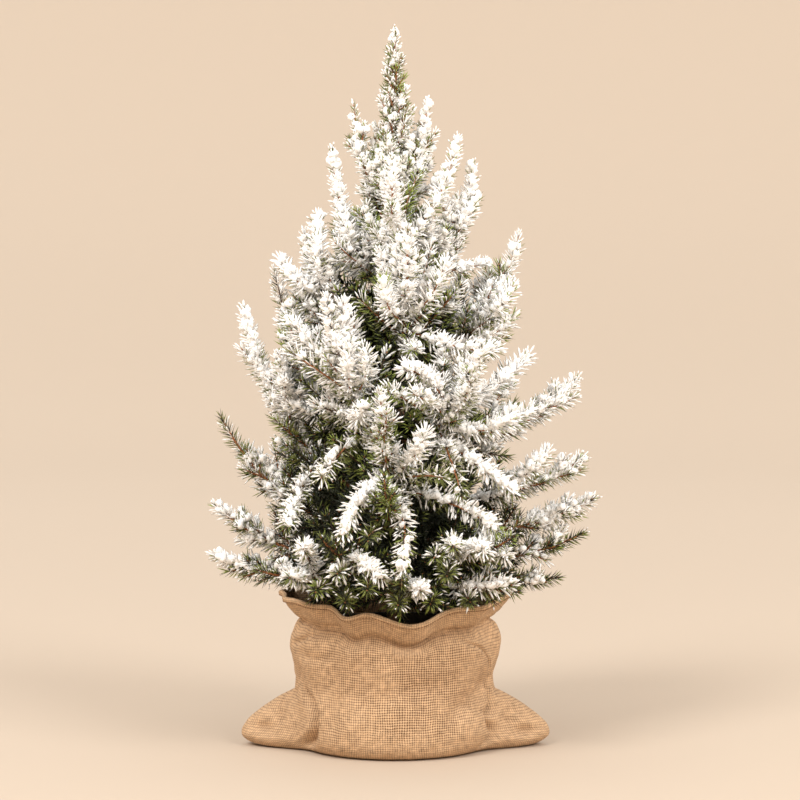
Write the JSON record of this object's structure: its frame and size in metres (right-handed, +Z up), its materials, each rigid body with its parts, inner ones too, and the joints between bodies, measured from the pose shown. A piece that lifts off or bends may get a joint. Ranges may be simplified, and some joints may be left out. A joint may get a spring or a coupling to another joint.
{
  "type": "potted spruce",
  "caption": "Small cone-shaped spruce with snow on its needles, in a nursery pot stood inside a slack jute sack.",
  "frame": {"origin": "middle of the sack's flat underside, on the ground", "axes": "+Z up along the trunk, +X to the right between the sack's two ears, -Y towards the viewer"},
  "size_m": [0.379, 0.361, 0.722],
  "materials": {
    "jute": "coarse open weave",
    "pot_plastic": "matt black",
    "soil_brown": "loose and rough",
    "bark": "rough bark",
    "snowy_needles": "green needles under snow"
  },
  "bodies": {
    "root": {"bough_01": "bark", "bough_02": "bark", "bough_03": "bark", "bough_04": "bark", "bough_05": "bark", "bough_06": "bark", "bough_07": "bark", "bough_08": "bark", "bough_09": "bark", "bough_10": "bark", "bough_11": "bark", "bough_12": "bark", "bough_13": "bark", "bough_14": "bark", "bough_15": "bark", "bough_16": "bark", "bough_17": "bark", "bough_18": "bark", "bough_19": "bark", "bough_20": "bark", "foliage_01": "snowy_needles", "foliage_02": "snowy_needles", "foliage_03": "snowy_needles", "foliage_04": "snowy_needles", "foliage_05": "snowy_needles", "foliage_06": "snowy_needles", "foliage_07": "snowy_needles", "foliage_08": "snowy_needles", "foliage_09": "snowy_needles", "foliage_10": "snowy_needles", "foliage_11": "snowy_needles", "foliage_12": "snowy_needles", "foliage_13": "snowy_needles", "foliage_14": "snowy_needles", "foliage_15": "snowy_needles", "foliage_16": "snowy_needles", "foliage_17": "snowy_needles", "foliage_18": "snowy_needles", "foliage_19": "snowy_needles", "foliage_20": "snowy_needles", "foliage_21": "snowy_needles", "foliage_22": "snowy_needles", "foliage_23": "snowy_needles", "foliage_24": "snowy_needles", "foliage_25": "snowy_needles", "foliage_26": "snowy_needles", "foliage_27": "snowy_needles", "foliage_28": "snowy_needles", "foliage_29": "snowy_needles", "foliage_30": "snowy_needles", "foliage_31": "snowy_needles", "foliage_32": "snowy_needles", "foliage_33": "snowy_needles", "foliage_34": "snowy_needles", "foliage_35": "snowy_needles", "leader_foliage": "snowy_needles", "nursery_pot": "pot_plastic", "sack": "jute", "soil": "soil_brown", "trunk": "bark"}
  },
  "joints": []
}
